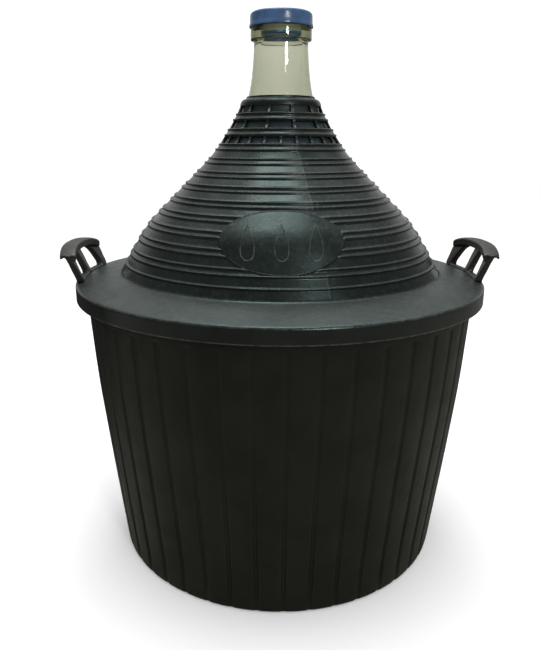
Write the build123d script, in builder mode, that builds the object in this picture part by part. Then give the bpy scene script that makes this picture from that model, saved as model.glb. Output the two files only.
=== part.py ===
from build123d import *
import math
import os

# Glass carboy (demijohn) of 54 litres in its moulded plastic basket.
# Millimetres. +Z is up, z = 0 is the ground under the basket, the Z axis is the
# axis of the bottle, the oval plaque faces -Y and the handles stand near +X and -X.

os.makedirs("parts", exist_ok=True)

# ---- driving dimensions ----------------------------------------------------------
FLANGE_R = 252.7          # outside radius of the cover's flange
FLANGE_Z = 347.7          # top of the flange at its outer edge
SKIRT_BOTTOM_Z = 329.8
COVER_WALL = 2.8
NECK_OPENING_R = 39.9     # mouth of the cover, wide enough to pass the cap

FOOT_R = 197.6            # outside of the ring the basket stands on
BASKET_WALL = 2.0
SLAT_H = 2.5              # how far the upright slats stand out of the wall
SLAT_COUNT = 44
RIM_Z = 346.4

GLASS_BASE_Z = 8.6
GLASS_WALL = 4.3
GLASS_MAX_R = 229.0
GLASS_MAX_Z = 257.3       # height of the widest ring of the bottle
BORE_R = 24.2
MOUTH_Z = 650.8

CAP_R = 36.5
CAP_TOP_Z = 655.6
CAP_BOTTOM_Z = 638.7

FIT = 0.1                 # gap between pieces that rest on or fit into each other
SLIDE_FIT = 0.05          # radial gap of the pieces that slide along the axis
MOULD_TURN = 1.2          # turn of the slats about Z, against the plaque, degrees
HANDLE_TURN = 1.6         # turn of the handles about Z, against the plaque, degrees


def radial_plane(azimuth):
    """Plane through the Z axis: local x points outward at the azimuth, local y is up."""
    a = math.radians(azimuth)
    return Plane(
        origin=(0, 0, 0),
        x_dir=(math.cos(a), math.sin(a), 0),
        z_dir=(math.sin(a), -math.cos(a), 0),
    )


def on_circle(centre, radius, angle):
    """Point of a circle in a radial section, angle in degrees."""
    a = math.radians(angle)
    return (centre[0] + radius * math.cos(a), centre[1] + radius * math.sin(a))


# ---- basket ----------------------------------------------------------------------
# outside of the slats, from just above the foot to just under the rim
SLAT_FACE = [(210.3, 11.3), (223.1, 127.6), (233.8, 230.5), (240.7, 336.5)]
WALL_INSIDE = [(r - SLAT_H - BASKET_WALL, z) for r, z in SLAT_FACE]
FLOOR_Z = GLASS_BASE_Z - FIT
FLOOR_THICKNESS = 3.5
RECESS_R = 175.0          # the floor inside this radius is raised off the ground
RIM_R = 243.3
RIM_LIP_H = 6.0
GROOVE_TOP = (239.7, 320.0)
GROOVE_FOOT = (208.6, -4.0)
GROOVE_MOUTH = 7.0        # width of a groove at the face of the slats
GROOVE_BOTTOM = 2.2       # and at its bottom

with BuildPart() as groove:
    with BuildLine(radial_plane(0)) as groove_path:
        Polyline([(r - SLAT_H, z) for r, z in (GROOVE_FOOT, *SLAT_FACE[1:3], GROOVE_TOP)])
    with BuildSketch(Plane(groove_path.line @ 0, x_dir=(0, 1, 0), z_dir=(0, 0, 1))):
        with BuildLine():
            Polyline(
                (-GROOVE_BOTTOM / 2, 0),
                (GROOVE_BOTTOM / 2, 0),
                (GROOVE_MOUTH / 2, -SLAT_H),
                (GROOVE_MOUTH / 2, -3 * SLAT_H),
                (-GROOVE_MOUTH / 2, -3 * SLAT_H),
                (-GROOVE_MOUTH / 2, -SLAT_H),
                close=True,
            )
        make_face()
    sweep(path=groove_path.line, transition=Transition.RIGHT)

with BuildPart() as basket:
    with BuildSketch(Plane.XZ):
        with BuildLine():
            Polyline(
                (0, FLOOR_Z - FLOOR_THICKNESS),
                (RECESS_R, FLOOR_Z - FLOOR_THICKNESS),
                (RECESS_R + 4, 0),
                (FOOT_R, 0),
            )
            ThreePointArc((FOOT_R, 0), (206.8, 3.7), SLAT_FACE[0])
            Polyline(
                *SLAT_FACE,
                (RIM_R, RIM_Z - RIM_LIP_H),
                (RIM_R, RIM_Z),
                (WALL_INSIDE[-1][0] + 0.3, RIM_Z),
                *reversed(WALL_INSIDE),
            )
            ThreePointArc(WALL_INSIDE[0], (202.4, 5.6), (196.0, FLOOR_THICKNESS))
            Polyline(
                (196.0, FLOOR_THICKNESS),
                (RECESS_R + 6, FLOOR_THICKNESS),
                (RECESS_R + 2, FLOOR_Z),
                (0, FLOOR_Z),
                (0, FLOOR_Z - FLOOR_THICKNESS),
            )
        make_face()
    revolve(axis=Axis.Z)
    with PolarLocations(0, SLAT_COUNT, start_angle=MOULD_TURN - 90):
        add(groove.part, mode=Mode.SUBTRACT)
basket.part.label = "basket"
export_step(basket.part, "parts/basket.step")

# ---- glass carboy ----------------------------------------------------------------
# The bottle's side is one smooth chain: straight barrel, shoulder, dome and throat.
BARREL_TAPER = 6.3        # lean of the barrel, degrees from upright
SHOULDER_RADIUS = 147.5
SHOULDER_TOP_Z = 355.1
DOME_TOP = (88.5, 465.2)
THROAT_TOP = (43.2, 545.5)
BASE_THICKNESS = 7.0
PUSH_UP_H = 13.0
CONTACT_R = 149.0
HEEL_RADIUS = 42.0
INNER_HEEL_Z = 62.0
INNER_HEEL_BEND = 13.5
NECK_MIDDLE = (35.6, 577.4)
NECK_R = 31.9             # at the top of the neck
NECK_TOP_Z = 622.5
BEAD_R = 35.8             # thick ring under the cap
BEAD_UNDERSIDE = (34.4, 625.0)
BEAD_Z = 628.0            # where the ring has its full radius
BEAD_TOP_Z = 637.8
FINISH_R = 33.9           # narrower top that the cap grips
INNER_NECK = [(29.2, 574.0), (25.6, 622.0)]
BORE_Z = 629.0            # the bore is straight from here to the mouth


def tangent_arc(start, normal_angle, end):
    """Arc from start to end that leaves start square to normal_angle.

    Returns centre, radius and end angle; the radius is negative where the side
    of the bottle curves inward.
    """
    slope = math.degrees(math.atan2(end[1] - start[1], start[0] - end[0]))
    end_angle = 2 * (90 - slope) - normal_angle
    half_turn = math.radians((end_angle - normal_angle) / 2)
    radius = math.dist(start, end) / 2 / math.sin(half_turn)
    return on_circle(start, -radius, normal_angle), radius, end_angle


SHOULDER_END = math.degrees(math.asin((SHOULDER_TOP_Z - GLASS_MAX_Z) / SHOULDER_RADIUS))
SHOULDER_CENTRE = (GLASS_MAX_R - SHOULDER_RADIUS, GLASS_MAX_Z)
SHOULDER_TOP = on_circle(SHOULDER_CENTRE, SHOULDER_RADIUS, SHOULDER_END)
DOME_CENTRE, DOME_RADIUS, DOME_END = tangent_arc(SHOULDER_TOP, SHOULDER_END, DOME_TOP)
THROAT_CENTRE, THROAT_RADIUS, THROAT_END = tangent_arc(DOME_TOP, DOME_END, THROAT_TOP)


def barrel_point(inset, z):
    """Point of the straight barrel at height z, moved inward by inset."""
    r, top_z = on_circle(SHOULDER_CENTRE, SHOULDER_RADIUS - inset, -BARREL_TAPER)
    return (r - (top_z - z) * math.tan(math.radians(BARREL_TAPER)), z)


def bottle_side(inset, bottom_z):
    """Draw the side of the bottle from bottom_z up, moved inward by inset."""
    barrel_top = on_circle(SHOULDER_CENTRE, SHOULDER_RADIUS - inset, -BARREL_TAPER)
    Line(barrel_point(inset, bottom_z), barrel_top)
    CenterArc(SHOULDER_CENTRE, SHOULDER_RADIUS - inset, -BARREL_TAPER, BARREL_TAPER + SHOULDER_END)
    CenterArc(DOME_CENTRE, DOME_RADIUS - inset, SHOULDER_END, DOME_END - SHOULDER_END)
    throat = CenterArc(
        THROAT_CENTRE, inset - THROAT_RADIUS, 180 + DOME_END, THROAT_END - DOME_END
    )
    return throat @ 1


with BuildPart() as glass_carboy:
    with BuildSketch(Plane.XZ):
        with BuildLine():
            heel = barrel_point(0, GLASS_BASE_Z)
            neck_root = bottle_side(0, GLASS_BASE_Z)
            push_up_top = (0, GLASS_BASE_Z + PUSH_UP_H)
            ThreePointArc(push_up_top, (77, GLASS_BASE_Z + 9.6), (CONTACT_R, GLASS_BASE_Z))
            Line((CONTACT_R, GLASS_BASE_Z), heel)
            ThreePointArc(neck_root, NECK_MIDDLE, (NECK_R, NECK_TOP_Z))
            ThreePointArc((NECK_R, NECK_TOP_Z), BEAD_UNDERSIDE, (BEAD_R, BEAD_Z))
            Polyline(
                (BEAD_R, BEAD_Z),
                (BEAD_R, BEAD_TOP_Z - 2),
                (FINISH_R, BEAD_TOP_Z),
                (FINISH_R, MOUTH_Z),
                (0, MOUTH_Z),
                push_up_top,
            )
        make_face()
    revolve(axis=Axis.Z)
    heel_edge = glass_carboy.edges().filter_by(GeomType.CIRCLE).sort_by(
        lambda edge: abs(edge.radius - heel[0]) + abs(edge.arc_center.Z - heel[1])
    )[0]
    fillet(heel_edge, HEEL_RADIUS)
    # the hollow inside
    with BuildSketch(Plane.XZ):
        with BuildLine():
            floor_z = GLASS_BASE_Z + BASE_THICKNESS
            inner_heel = barrel_point(GLASS_WALL, INNER_HEEL_Z)
            inner_neck = bottle_side(GLASS_WALL, INNER_HEEL_Z)
            ThreePointArc((0, floor_z + PUSH_UP_H), (77, floor_z + 9.6), (CONTACT_R, floor_z))
            heel_middle = (inner_heel[0] - INNER_HEEL_BEND, floor_z + INNER_HEEL_BEND)
            ThreePointArc((CONTACT_R, floor_z), heel_middle, inner_heel)
            ThreePointArc(inner_neck, *INNER_NECK)
            Polyline(
                INNER_NECK[-1],
                (BORE_R, BORE_Z),
                (BORE_R, MOUTH_Z),
                (0, MOUTH_Z),
                (0, floor_z + PUSH_UP_H),
            )
        make_face()
    revolve(axis=Axis.Z, mode=Mode.SUBTRACT)
glass_carboy.part.label = "glass_carboy"
export_step(glass_carboy.part, "parts/glass_carboy.step")

# ---- stopper ---------------------------------------------------------------------
STOPPER_BOTTOM_Z = 629.8
STOPPER_R = BORE_R - SLIDE_FIT
STOPPER_WALL = 2.0
STOPPER_CHAMFER = 2.5
STOPPER_RIM_R = 31.0
STOPPER_RIM_H = 1.6
STOPPER_TOP_Z = MOUTH_Z + FIT + STOPPER_RIM_H

with BuildPart() as inner_stopper:
    with BuildSketch(Plane.XZ):
        with BuildLine():
            Polyline(
                (0, STOPPER_BOTTOM_Z),
                (STOPPER_R - STOPPER_CHAMFER, STOPPER_BOTTOM_Z),
                (STOPPER_R, STOPPER_BOTTOM_Z + STOPPER_CHAMFER),
                (STOPPER_R, MOUTH_Z + FIT),
                (STOPPER_RIM_R, MOUTH_Z + FIT),
                (STOPPER_RIM_R, STOPPER_TOP_Z),
                (STOPPER_R - STOPPER_WALL, STOPPER_TOP_Z),
                (STOPPER_R - STOPPER_WALL, STOPPER_BOTTOM_Z + STOPPER_CHAMFER),
                (0, STOPPER_BOTTOM_Z + STOPPER_CHAMFER),
                close=True,
            )
        make_face()
    revolve(axis=Axis.Z)
inner_stopper.part.label = "inner_stopper"
export_step(inner_stopper.part, "parts/inner_stopper.step")

# ---- cap -------------------------------------------------------------------------
CAP_EDGE_RADIUS = 4.5
CAP_INSIDE_R = FINISH_R + SLIDE_FIT
CAP_INSIDE_Z = STOPPER_TOP_Z + FIT
CAP_LIP_R = 37.4
CAP_LIP_H = 2.4

with BuildPart() as outer_cap:
    with BuildSketch(Plane.XZ):
        with BuildLine():
            Polyline(
                (0, CAP_INSIDE_Z),
                (CAP_INSIDE_R, CAP_INSIDE_Z),
                (CAP_INSIDE_R, CAP_BOTTOM_Z),
                (CAP_LIP_R, CAP_BOTTOM_Z),
                (CAP_LIP_R, CAP_BOTTOM_Z + CAP_LIP_H),
                (CAP_R, CAP_BOTTOM_Z + 2 * CAP_LIP_H),
                (CAP_R, CAP_TOP_Z),
                (0, CAP_TOP_Z),
                close=True,
            )
        make_face()
    revolve(axis=Axis.Z)
    top_edge = outer_cap.edges().filter_by(GeomType.CIRCLE).sort_by(Axis.Z)[-1]
    fillet(top_edge, CAP_EDGE_RADIUS)
outer_cap.part.label = "outer_cap"
export_step(outer_cap.part, "parts/outer_cap.step")

# ---- handles ---------------------------------------------------------------------
# Heights are above the flange's outer edge. Each handle has a thin foot on the flange,
# three legs that lean outward and widen upward, a saddle-shaped grip with its edges
# turned down, and a barbed tab under each leg.
FLANGE_ROOT = (199.0, 357.5)   # where the flange meets the bell
# inner and outer face of the legs, from the foot up
LEG_INSIDE = [(241.9, 3.2), (246.7, 15.0), (250.7, 24.0), (254.9, 32.0), (256.0, 37.0)]
LEG_OUTSIDE = [(251.2, 3.2), (255.6, 15.0), (259.0, 24.0), (262.6, 32.0), (264.4, 37.0)]
WALL_HALF_LENGTH = 90.0
WALL_HEIGHTS = (-5.0, 32.2)    # below the foot, and just under the ends of the grip
FOOT_IN = 241.3
FOOT_OUT = 250.4
FOOT_H = 3.2
WALL_SPREAD = 20.0             # the legs are cut from a curved wall of this half angle
OUTER_EDGE = [(60.8, 0.0), (64.2, 20.0), (67.4, 37.0)]       # half length and height
OPENING_NEAR = [(3.2, FOOT_H), (3.9, 16.4), (5.6, 30.0)]     # side by the middle leg
OPENING_FAR = [(56.2, FOOT_H), (55.4, 16.4), (50.4, 30.0)]   # side by the outer leg
OPENING_FILLET = 2.4
TAB_ANGLES = (-12.4, 0.0, 12.4)
TAB_IN = 245.1
TAB_OUT = 248.6
TAB_WIDTH = 10.0
TAB_LENGTH = 11.5
BARB = 0.9
GRIP_IN = 249.7
GRIP_OUT = 267.8
GRIP_BAND_H = 60.0             # tall enough to hold the arch of the grip
GRIP_PLATE = 2.8               # thickness of the grip's top
GRIP_EDGE = 2.6                # thickness of its turned-down edges
INNER_EDGE_H = 7.5
OUTER_EDGE_H = 4.6
# half length and height of the grip's top from its middle to its end
GRIP_TOP = [(0.0, 43.0), (22.0, 42.7), (40.0, 41.1), (52.0, 38.7), (63.4, 35.2)]


def flange_top(r):
    """Height of the flange's top face at radius r."""
    rise = FLANGE_ROOT[1] - FLANGE_Z
    return FLANGE_Z + rise * (FLANGE_R - r) / (FLANGE_R - FLANGE_ROOT[0])


def lifted(points):
    """Points whose heights are given above the flange's outer edge."""
    return [(p, FLANGE_Z + height) for p, height in points]


def mirrored(points):
    """Points of one half followed back to its mirror image on the other side."""
    return [(-y, z) for y, z in reversed(points[1:])] + list(points)


SIDE_DEPTH = 100.0
SIDE_VIEW = Plane(origin=(FOOT_IN - 40, 0, 0), x_dir=(0, 1, 0), z_dir=(1, 0, 0))


def grip_band(inner_r, outer_r, height):
    """Part of the grip between two radii, reaching down from its arched top."""
    top = mirrored(lifted(GRIP_TOP))
    bottom = [(y, z - height) for y, z in top]
    with BuildPart() as band:
        with BuildSketch(radial_plane(-WALL_SPREAD)):
            with Locations(((inner_r + outer_r) / 2, FLANGE_Z + GRIP_TOP[0][1])):
                Rectangle(outer_r - inner_r, GRIP_BAND_H)
        revolve(axis=Axis.Z, revolution_arc=2 * WALL_SPREAD)
        with BuildSketch(SIDE_VIEW):
            with BuildLine():
                Spline(*top)
                Line(top[-1], bottom[-1])
                Spline(*bottom)
                Line(bottom[0], top[0])
            make_face()
        extrude(amount=SIDE_DEPTH, mode=Mode.INTERSECT)
    return band.part


with BuildPart() as legs:
    # curved wall leaning outward
    with BuildSketch(radial_plane(-WALL_SPREAD)):
        with BuildLine():
            Spline(*lifted(LEG_OUTSIDE))
            Line(*lifted([LEG_OUTSIDE[-1], LEG_INSIDE[-1]]))
            Spline(*lifted(LEG_INSIDE))
            Polyline(
                *lifted(LEG_INSIDE[:1]),
                (FOOT_IN, flange_top(FOOT_IN) + FIT),
                (FOOT_OUT, flange_top(FOOT_OUT) + FIT),
                *lifted(LEG_OUTSIDE[:1]),
            )
        make_face()
    revolve(axis=Axis.Z, revolution_arc=2 * WALL_SPREAD)
    # its outline seen from outside
    with BuildSketch(SIDE_VIEW):
        with BuildLine():
            right_edge = lifted(OUTER_EDGE)
            left_edge = [(-y, z) for y, z in right_edge]
            Line(right_edge[0], left_edge[0])
            Polyline(*right_edge)
            Line(right_edge[-1], left_edge[-1])
            Polyline(*left_edge)
        make_face()
        for side in (-1, 1):
            near = [(side * y, z) for y, z in lifted(OPENING_NEAR)]
            far = [(side * y, z) for y, z in lifted(OPENING_FAR)]
            with BuildSketch(mode=Mode.PRIVATE) as opening:
                with BuildLine():
                    ThreePointArc(*near)
                    Line(near[-1], far[-1])
                    ThreePointArc(*far)
                    Line(far[0], near[0])
                make_face()
                fillet(opening.vertices(), OPENING_FILLET)
            add(opening.sketch, mode=Mode.SUBTRACT)
    extrude(amount=SIDE_DEPTH, mode=Mode.INTERSECT)
    # nothing of the wall stands above the grip
    with BuildSketch(SIDE_VIEW):
        with BuildLine():
            grip_middle = [(y, z - GRIP_PLATE / 2) for y, z in mirrored(lifted(GRIP_TOP))]
            left_low, left_high = [(-WALL_HALF_LENGTH, FLANGE_Z + height) for height in WALL_HEIGHTS]
            right_low, right_high = [(WALL_HALF_LENGTH, z) for z in (left_low[1], left_high[1])]
            Line(left_high, grip_middle[0])
            Spline(*grip_middle)
            Polyline(grip_middle[-1], right_high, right_low, left_low, left_high)
        make_face()
    extrude(amount=SIDE_DEPTH, mode=Mode.INTERSECT)

with BuildPart() as handle:
    add(legs.part)
    add(grip_band(GRIP_IN, GRIP_OUT, GRIP_PLATE))
    add(grip_band(GRIP_IN, GRIP_IN + GRIP_EDGE, INNER_EDGE_H))
    add(grip_band(GRIP_OUT - GRIP_EDGE, GRIP_OUT, OUTER_EDGE_H))
    # barbed tabs that drop through the flange
    for angle in TAB_ANGLES:
        under_flange = FLANGE_Z - COVER_WALL
        with BuildSketch(radial_plane(angle)):
            with BuildLine():
                Polyline(
                    (TAB_IN, FLANGE_Z + FOOT_H),
                    (TAB_IN, under_flange + 0.3),
                    (TAB_IN - BARB, under_flange - 1.7),
                    (TAB_IN, FLANGE_Z - TAB_LENGTH),
                    (TAB_OUT, FLANGE_Z - TAB_LENGTH),
                    (TAB_OUT, FLANGE_Z + FOOT_H),
                    close=True,
                )
            make_face()
        extrude(amount=TAB_WIDTH / 2, both=True)

for name, turn in (("handle_right", HANDLE_TURN), ("handle_left", 180 + HANDLE_TURN)):
    with BuildPart() as placed_handle:
        with Locations(Rotation(0, 0, turn)):
            add(handle.part)
    placed_handle.part.label = name
    export_step(placed_handle.part, f"parts/{name}.step")

# ---- shoulder cover ----------------------------------------------------------------
# Bell from the collar down to its foot, then the sloped flange and the skirt.
BELL = [(49.4, 548.2), (67.3, 517.4), (82.8, 495.6), (164.4, 413.7), FLANGE_ROOT]
COLLAR = [(NECK_OPENING_R + 1.4, 560.3), (45.9, 559.0), (48.4, 555.4)]
LIP_WALL = 1.4            # raised lip round the mouth of the cover
LIP_TOP_Z = 562.9
LIP_LOW_Z = 557.6
FLANGE_EDGE_RADIUS = 2.2
RIB_R = 1.5               # ring ribs, half sunk in the bell
RIB_FIRST = 6.6           # distance of the first rib from the collar, along the bell
RIB_PITCH = 20.3          # from one pair of ribs to the next
RIB_GAP = 7.1             # between the two ribs of a pair
RIB_PAIRS = 11            # one single rib follows the last pair
# windows: lowest and highest z, radius, number round the bell, width and start of bars
WINDOW_ROWS = [
    (543.8, 551.8, 50.0, 12, 3.9, 15.0),
    (526.5, 534.9, 60.0, 12, 3.9, 15.0),
    (509.6, 517.3, 70.0, 24, 3.3, 0.0),
]
WINDOW_TURN = -0.5        # turn of the windows about Z, against the plaque, degrees
# outer face of the sleeve that hangs from the collar, close behind the windows
SLEEVE = [(46.0, 557.2), (46.0, 552.0), (45.8, 548.2), (46.8, 545.0), (62.9, 517.4), (70.0, 507.4)]
SLEEVE_WALL = 1.5
PLAQUE_Z = 411.5
PLAQUE_HALF_W = 66.4
PLAQUE_HALF_H = 31.1
PLAQUE_RISE = 1.2
PLAQUE_BORDER = 1.7
MARK_RISE = 2.0           # border and droplets stand this far out of the bell
DROPLET_SPACING = 35.0
DROPLET_H = 34.0
DROPLET_R = 10.0
DROPLET_LINE = 1.7

with BuildLine() as bell_line:
    Polyline(*BELL)
rib_distances = [RIB_FIRST + RIB_PITCH * k for k in range(RIB_PAIRS + 1)]
rib_distances += [RIB_FIRST + RIB_GAP + RIB_PITCH * k for k in range(RIB_PAIRS)]

with BuildSketch(Plane.XZ) as plaque_outline:
    with Locations((0, PLAQUE_Z)):
        Ellipse(PLAQUE_HALF_W, PLAQUE_HALF_H)


def bell_skin(rise):
    """Skin of the given rise on the front of the bell, behind the plaque."""
    with BuildPart() as skin:
        with BuildSketch(radial_plane(-90 - 35)):
            with BuildLine():
                Polyline(*BELL[2:])
                offset(amount=rise, side=Side.LEFT)
            make_face()
        revolve(axis=Axis.Z, revolution_arc=70)
    return skin.part


with BuildPart() as plaque_bed:
    add(bell_skin(2 * RIB_R))
    extrude(plaque_outline.sketch, amount=FLANGE_R, mode=Mode.INTERSECT)

with BuildPart() as plaque:
    add(bell_skin(PLAQUE_RISE))
    extrude(plaque_outline.sketch, amount=FLANGE_R, mode=Mode.INTERSECT)

with BuildSketch(Plane.XZ) as droplet:
    with BuildLine():
        tip = (0, DROPLET_H / 2)
        low = DROPLET_R - DROPLET_H / 2
        ThreePointArc(tip, (DROPLET_R * 0.47, DROPLET_H * 0.2), (DROPLET_R, low))
        ThreePointArc((DROPLET_R, low), (0, low - DROPLET_R), (-DROPLET_R, low))
        ThreePointArc((-DROPLET_R, low), (-DROPLET_R * 0.47, DROPLET_H * 0.2), tip)
    make_face()
with BuildSketch(Plane.XZ) as droplet_hole:
    add(droplet.sketch)
    offset(amount=-DROPLET_LINE, mode=Mode.REPLACE)
with BuildSketch(Plane.XZ) as marks:
    with Locations((0, PLAQUE_Z)):
        Ellipse(PLAQUE_HALF_W, PLAQUE_HALF_H)
        Ellipse(PLAQUE_HALF_W - PLAQUE_BORDER, PLAQUE_HALF_H - PLAQUE_BORDER, mode=Mode.SUBTRACT)
    with Locations(*[(k * DROPLET_SPACING, PLAQUE_Z) for k in (-1, 0, 1)]):
        add(droplet.sketch)
        add(droplet_hole.sketch, mode=Mode.SUBTRACT)

with BuildPart() as plaque_marks:
    add(bell_skin(MARK_RISE))
    extrude(marks.sketch, amount=FLANGE_R, mode=Mode.INTERSECT)

with BuildPart() as tab_slots:
    for side in (0, 180):
        for angle in TAB_ANGLES:
            with BuildSketch(radial_plane(side + HANDLE_TURN + angle)):
                with Locations(((TAB_IN + TAB_OUT) / 2, FLANGE_Z)):
                    Rectangle(TAB_OUT - TAB_IN + 2 * FIT, 6 * COVER_WALL)
            extrude(amount=TAB_WIDTH / 2 + FIT, both=True)


def window_row(low, high, radius, count, bar_width, first_bar):
    """The solid that cuts one row of windows out of the bell."""
    bar_angle = math.degrees(bar_width / radius)
    pitch = 360 / count
    with BuildPart() as window:
        with BuildSketch(radial_plane(-90 + WINDOW_TURN + first_bar + bar_angle / 2)):
            with Locations((radius, (low + high) / 2)):
                Rectangle(40, high - low)
        revolve(axis=Axis.Z, revolution_arc=pitch - bar_angle)
    with BuildPart() as row:
        with PolarLocations(0, count):
            add(window.part)
    return row.part


with BuildPart() as shoulder_cover:
    with BuildSketch(Plane.XZ):
        with BuildLine():
            Polyline(*COLLAR, *BELL, (FLANGE_R, FLANGE_Z), (FLANGE_R, SKIRT_BOTTOM_Z))
            offset(amount=COVER_WALL, side=Side.RIGHT)
        make_face()
        for distance in rib_distances:
            rib = bell_line.wire().position_at(distance, position_mode=PositionMode.LENGTH)
            with Locations((rib.X, rib.Y)):
                Circle(RIB_R)
        with Locations((NECK_OPENING_R + LIP_WALL / 2, (LIP_TOP_Z + LIP_LOW_Z) / 2)):
            Rectangle(LIP_WALL, LIP_TOP_Z - LIP_LOW_Z)
    revolve(axis=Axis.Z)
    flange_edge = shoulder_cover.edges().filter_by(GeomType.CIRCLE).sort_by(
        lambda edge: abs(edge.radius - FLANGE_R) + abs(edge.arc_center.Z - FLANGE_Z)
    )[0]
    fillet(flange_edge, FLANGE_EDGE_RADIUS)
    add(plaque_bed.part, mode=Mode.SUBTRACT)
    add(plaque.part)
    add(plaque_marks.part)
    for row in WINDOW_ROWS:
        add(window_row(*row), mode=Mode.SUBTRACT)
    with BuildSketch(Plane.XZ):
        with BuildLine():
            Polyline(*SLEEVE)
            offset(amount=SLEEVE_WALL, side=Side.RIGHT)
        make_face()
    revolve(axis=Axis.Z)
    add(tab_slots.part, mode=Mode.SUBTRACT)
shoulder_cover.part.label = "shoulder_cover"
export_step(shoulder_cover.part, "parts/shoulder_cover.step")
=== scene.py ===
import math

import bmesh
import bpy
import numpy as np
from mathutils import Matrix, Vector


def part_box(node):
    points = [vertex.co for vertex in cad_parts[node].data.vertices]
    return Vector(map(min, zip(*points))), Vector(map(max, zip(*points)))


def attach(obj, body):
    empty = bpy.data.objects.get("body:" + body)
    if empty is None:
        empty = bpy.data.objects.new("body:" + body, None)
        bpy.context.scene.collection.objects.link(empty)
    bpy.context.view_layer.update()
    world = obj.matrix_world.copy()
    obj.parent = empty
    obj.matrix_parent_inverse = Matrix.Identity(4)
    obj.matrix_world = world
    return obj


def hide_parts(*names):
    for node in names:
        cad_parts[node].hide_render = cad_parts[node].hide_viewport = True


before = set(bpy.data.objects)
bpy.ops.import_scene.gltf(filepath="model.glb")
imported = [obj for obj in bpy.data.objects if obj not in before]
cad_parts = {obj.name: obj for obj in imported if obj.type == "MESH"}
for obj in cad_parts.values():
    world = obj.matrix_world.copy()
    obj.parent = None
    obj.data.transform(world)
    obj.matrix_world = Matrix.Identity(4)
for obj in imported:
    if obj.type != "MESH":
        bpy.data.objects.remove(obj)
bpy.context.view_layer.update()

# Looks of the 54 litre glass carboy: detailed mouldings and glass built around the
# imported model. Outlines are (radius, height) in millimetres, meshes are in metres.

MM = 0.001

# ---- driving dimensions, read from the frame where a node's box gives them ----
FLANGE_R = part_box("shoulder_cover")[1].x / MM
SKIRT_BOTTOM_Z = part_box("shoulder_cover")[0].z / MM
COLLAR_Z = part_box("shoulder_cover")[1].z / MM
BASKET_RIM_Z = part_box("basket")[1].z / MM
BASKET_RIM_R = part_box("basket")[1].x / MM
GLASS_BASE_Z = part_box("glass_carboy")[0].z / MM
MOUTH_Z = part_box("glass_carboy")[1].z / MM
GLASS_MAX_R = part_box("glass_carboy")[1].x / MM
CAP_BOTTOM_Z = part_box("outer_cap")[0].z / MM
CAP_TOP_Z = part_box("outer_cap")[1].z / MM
CAP_LIP_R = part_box("outer_cap")[1].x / MM
STOPPER_BOTTOM_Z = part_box("inner_stopper")[0].z / MM
STOPPER_TOP_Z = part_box("inner_stopper")[1].z / MM
STOPPER_RIM_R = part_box("inner_stopper")[1].x / MM

FLANGE_Z = SKIRT_BOTTOM_Z + 17.9      # flange's top face at its outer edge
FLANGE_ROOT = (199.0, 357.5)          # where the flange meets the bell
COVER_WALL = 2.8
MOULD_TURN = 1.2                      # slats against the plaque, degrees
WINDOW_TURN = -0.5                    # windows against the plaque, degrees
SLAT_COUNT = 44


# ---- outlines ------------------------------------------------------------------------
def rounded(points, radius, steps=6):
    """Outline with its inner corners rounded; radius is one number or one per point."""
    points = [np.array(p, float) for p in points]
    radii = radius if hasattr(radius, "__len__") else [radius] * len(points)
    outline = [points[0]]
    for before, corner, after, r in zip(points, points[1:], points[2:], radii[1:]):
        to_before, to_after = before - corner, after - corner
        length_before, length_after = np.linalg.norm(to_before), np.linalg.norm(to_after)
        cut = min(r, 0.48 * length_before, 0.48 * length_after)
        if cut < 0.01:
            outline.append(corner)
            continue
        start = corner + to_before / length_before * cut
        end = corner + to_after / length_after * cut
        for t in np.linspace(0, 1, steps + 1):
            outline.append((1 - t) ** 2 * start + 2 * t * (1 - t) * corner + t**2 * end)
    outline.append(points[-1])
    return np.array(outline)


def along(outline):
    """Distance of each outline point from the outline's start."""
    steps = np.linalg.norm(np.diff(outline, axis=0), axis=1)
    return np.concatenate([[0], np.cumsum(steps)])


def resampled(outline, stations):
    """Outline points at the given distances, with the normals on their left side."""
    s = along(outline)
    at = np.stack([np.interp(stations, s, outline[:, k]) for k in (0, 1)], axis=1)
    ahead = np.stack([np.interp(stations + 1.0, s, outline[:, k]) for k in (0, 1)], axis=1)
    back = np.stack([np.interp(stations - 1.0, s, outline[:, k]) for k in (0, 1)], axis=1)
    tangent = ahead - back
    tangent /= np.linalg.norm(tangent, axis=1)[:, None]
    return at, np.stack([-tangent[:, 1], tangent[:, 0]], axis=1)


def smoothstep(low, high, x):
    t = np.clip((x - low) / (high - low), 0, 1)
    return t * t * (3 - 2 * t)


def wobble(azimuth, z, amount, seed):
    """Gentle uneven offset of a moulded wall, from a few slow waves."""
    waves = np.random.default_rng(seed)
    total = 0
    for turns in (2, 3, 5, 8, 13):
        phase, rise = waves.uniform(0, 2 * math.pi), waves.uniform(0.008, 0.03)
        total = total + np.sin(turns * azimuth + rise * z + phase) / math.sqrt(turns)
    return amount * total / 2


# ---- meshes --------------------------------------------------------------------------
def mesh_object(name, bm, material):
    mesh = bpy.data.meshes.new(name)
    for face in bm.faces:
        face.smooth = True
    bm.to_mesh(mesh)
    bm.free()
    obj = bpy.data.objects.new(name, mesh)
    obj.data.materials.append(material)
    bpy.context.scene.collection.objects.link(obj)
    return obj


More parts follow.
